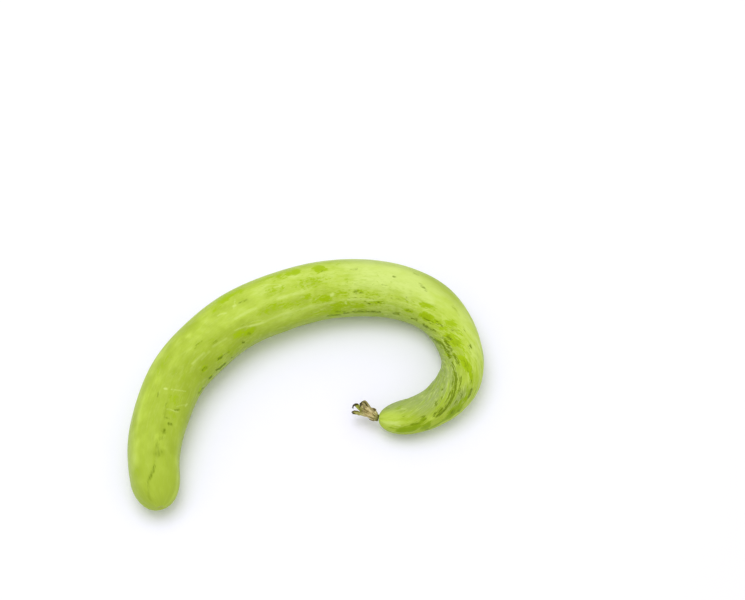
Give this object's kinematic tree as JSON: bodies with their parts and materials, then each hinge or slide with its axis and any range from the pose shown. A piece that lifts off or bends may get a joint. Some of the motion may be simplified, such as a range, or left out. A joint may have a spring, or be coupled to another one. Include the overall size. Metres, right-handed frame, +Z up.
{
  "type": "snake cucumber",
  "caption": "Long pale green snake cucumber lying on its side, arched with a hooked tip that still carries its withered flower.",
  "frame": {"origin": "centre of the footprint of the whole thing, on the surface it lies on", "axes": "+X runs from the side of the blunt stem end to the side of the hook, +Y from the two ends towards the crown of the arch, +Z up"},
  "size_m": [0.252, 0.1992, 0.043],
  "materials": {
    "cucumber_skin": "smooth ribbed skin with a soft waxy sheen",
    "dry_calyx": "shrivelled and dull",
    "dry_petal": "papery, wrinkled and dull",
    "dry_sepal": "shrivelled and dull"
  },
  "bodies": {
    "root": {"fruit": "cucumber_skin", "calyx_tube": "dry_calyx", "petal_1": "dry_petal", "petal_2": "dry_petal", "petal_3": "dry_petal", "petal_4": "dry_petal", "petal_5": "dry_petal", "sepal_1": "dry_sepal", "sepal_2": "dry_sepal", "sepal_3": "dry_sepal", "sepal_4": "dry_sepal", "sepal_5": "dry_sepal"}
  },
  "joints": []
}
